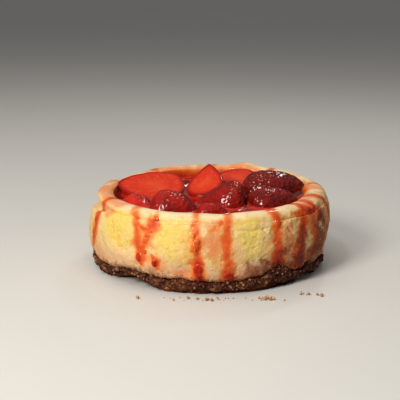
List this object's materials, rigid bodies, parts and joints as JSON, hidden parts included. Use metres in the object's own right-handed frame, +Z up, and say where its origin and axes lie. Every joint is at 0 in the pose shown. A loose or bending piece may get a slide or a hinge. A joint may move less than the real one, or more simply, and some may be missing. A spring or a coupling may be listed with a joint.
{
  "type": "strawberry cheesecake",
  "caption": "Small round baked cheesecake on a dark biscuit base, its hollow top heaped with halved strawberries in glossy red sauce that has run down the side.",
  "frame": {"origin": "middle of the flat underside, on the surface that the cake rests on", "axes": "+Z up, -Y towards the side that the picture shows, +X to the right of that side"},
  "size_m": [0.12, 0.1182, 0.0452],
  "materials": {
    "biscuit": "crumbly, matt",
    "cheese": "soft, satin",
    "strawberry": "wet, glossy",
    "sauce": "wet, glossy"
  },
  "bodies": {
    "root": {"biscuit_base": "biscuit", "cheese": "cheese", "strawberry_sauce": "sauce", "strawberry_left": "strawberry", "strawberry_front_left": "strawberry", "strawberry_front_middle": "strawberry", "strawberry_front": "strawberry", "strawberry_front_right": "strawberry", "strawberry_right": "strawberry", "strawberry_peak": "strawberry", "strawberry_back": "strawberry", "strawberry_back_left": "strawberry", "strawberry_front_low": "strawberry", "strawberry_middle": "strawberry", "strawberry_back_right": "strawberry"}
  },
  "joints": []
}
